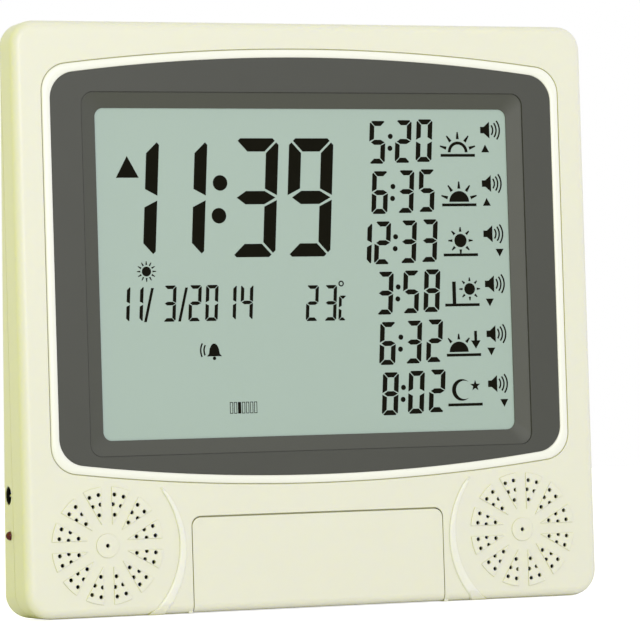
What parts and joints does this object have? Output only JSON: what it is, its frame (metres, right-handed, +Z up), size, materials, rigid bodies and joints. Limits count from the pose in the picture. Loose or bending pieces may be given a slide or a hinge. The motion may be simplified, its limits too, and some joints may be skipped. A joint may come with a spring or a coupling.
{
  "type": "azan clock",
  "caption": "Digital prayer-time clock with a wedge case, arched display surround, round loudspeaker grilles and a hinged key flap.",
  "frame": {"origin": "middle of the base, at mid depth of the case's foot", "axes": "+X to the right of someone who faces the display, +Y from the display to the back, +Z up"},
  "size_m": [0.282, 0.0317, 0.265],
  "materials": {
    "case_plastic": "glossy cream",
    "trim_plastic": "glossy white",
    "bezel_plastic": "satin charcoal",
    "display_film": "satin",
    "display_glass": "polished",
    "display_ink": "flat",
    "reflector": "matt silver",
    "soft_rubber": "matt",
    "circuit_board": "solder mask",
    "black_plastic": "moulded",
    "capacitor_sleeve": "shrunk sleeve",
    "screw_steel": "zinc plated",
    "ribbon": "satin",
    "speaker_steel": "pressed sheet",
    "speaker_paper": "coated paper",
    "magnet_metal": "plated",
    "spring_metal": "nickel plated",
    "lamp_plastic": "tinted red",
    "key_plastic": "moulded",
    "switch_plastic": "moulded"
  },
  "bodies": {
    "case": {"front_case": "case_plastic", "trim_ring": "trim_plastic", "display_bezel": "bezel_plastic", "lcd_film": "display_film", "lcd_segments": "display_ink", "lcd_front_glass": "display_glass", "lcd_rear_glass": "display_glass", "lcd_reflector": "reflector", "contact_strips": "soft_rubber", "main_board": "circuit_board", "processor_blob": "black_plastic", "board_capacitors": "capacitor_sleeve", "amplifier_chip": "black_plastic", "board_screws": "screw_steel", "key_board": "circuit_board", "key_switches": "black_plastic", "key_board_screws": "screw_steel", "key_ribbon": "ribbon", "left_speaker_gasket": "soft_rubber", "right_speaker_gasket": "soft_rubber", "left_speaker_frame": "speaker_steel", "right_speaker_frame": "speaker_steel", "left_speaker_cone": "speaker_paper", "right_speaker_cone": "speaker_paper", "left_speaker_magnet": "magnet_metal", "right_speaker_magnet": "magnet_metal", "speaker_washers": "screw_steel", "speaker_screws": "screw_steel", "back_cover": "case_plastic", "battery_spring": "spring_metal", "battery_contacts": "spring_metal", "power_jack": "black_plastic", "jack_pin": "screw_steel", "power_board": "circuit_board", "power_board_screws": "screw_steel", "indicator_lamp": "lamp_plastic", "case_screws": "screw_steel"},
    "key_1": {"key_1": "key_plastic", "plunger_1": "switch_plastic"},
    "key_2": {"key_2": "key_plastic", "plunger_2": "switch_plastic"},
    "key_3": {"key_3": "key_plastic", "plunger_3": "switch_plastic"},
    "key_4": {"key_4": "key_plastic", "plunger_4": "switch_plastic"},
    "key_5": {"key_5": "key_plastic", "plunger_5": "switch_plastic"},
    "key_6": {"key_6": "key_plastic", "plunger_6": "switch_plastic"},
    "key_flap": {"key_flap": "case_plastic"},
    "battery_door": {"battery_door": "case_plastic"}
  },
  "joints": [
    {"name": "key_1_press", "type": "slide", "parent": "case", "child": "key_1", "axis": [0, 1, 0], "range_m": [0, 0.0005], "stiffness_N_per_m": 400},
    {"name": "key_2_press", "type": "slide", "parent": "case", "child": "key_2", "axis": [0, 1, 0], "range_m": [0, 0.0005], "stiffness_N_per_m": 400},
    {"name": "key_3_press", "type": "slide", "parent": "case", "child": "key_3", "axis": [0, 1, 0], "range_m": [0, 0.0005], "stiffness_N_per_m": 400},
    {"name": "key_4_press", "type": "slide", "parent": "case", "child": "key_4", "axis": [0, 1, 0], "range_m": [0, 0.0005], "stiffness_N_per_m": 400},
    {"name": "key_5_press", "type": "slide", "parent": "case", "child": "key_5", "axis": [0, 1, 0], "range_m": [0, 0.0005], "stiffness_N_per_m": 400},
    {"name": "key_6_press", "type": "slide", "parent": "case", "child": "key_6", "axis": [0, 1, 0], "range_m": [0, 0.0005], "stiffness_N_per_m": 400},
    {"name": "flap_hinge", "type": "hinge", "parent": "case", "child": "key_flap", "pos_m": [0, -0.0117, 0.004], "axis": [1, 0, 0], "range_deg": [0, 90]},
    {"name": "battery_door_hinge", "type": "hinge", "parent": "case", "child": "battery_door", "pos_m": [0, 0.01178, 0.04986], "axis": [-1, 0, 0], "range_deg": [0, 90]}
  ]
}
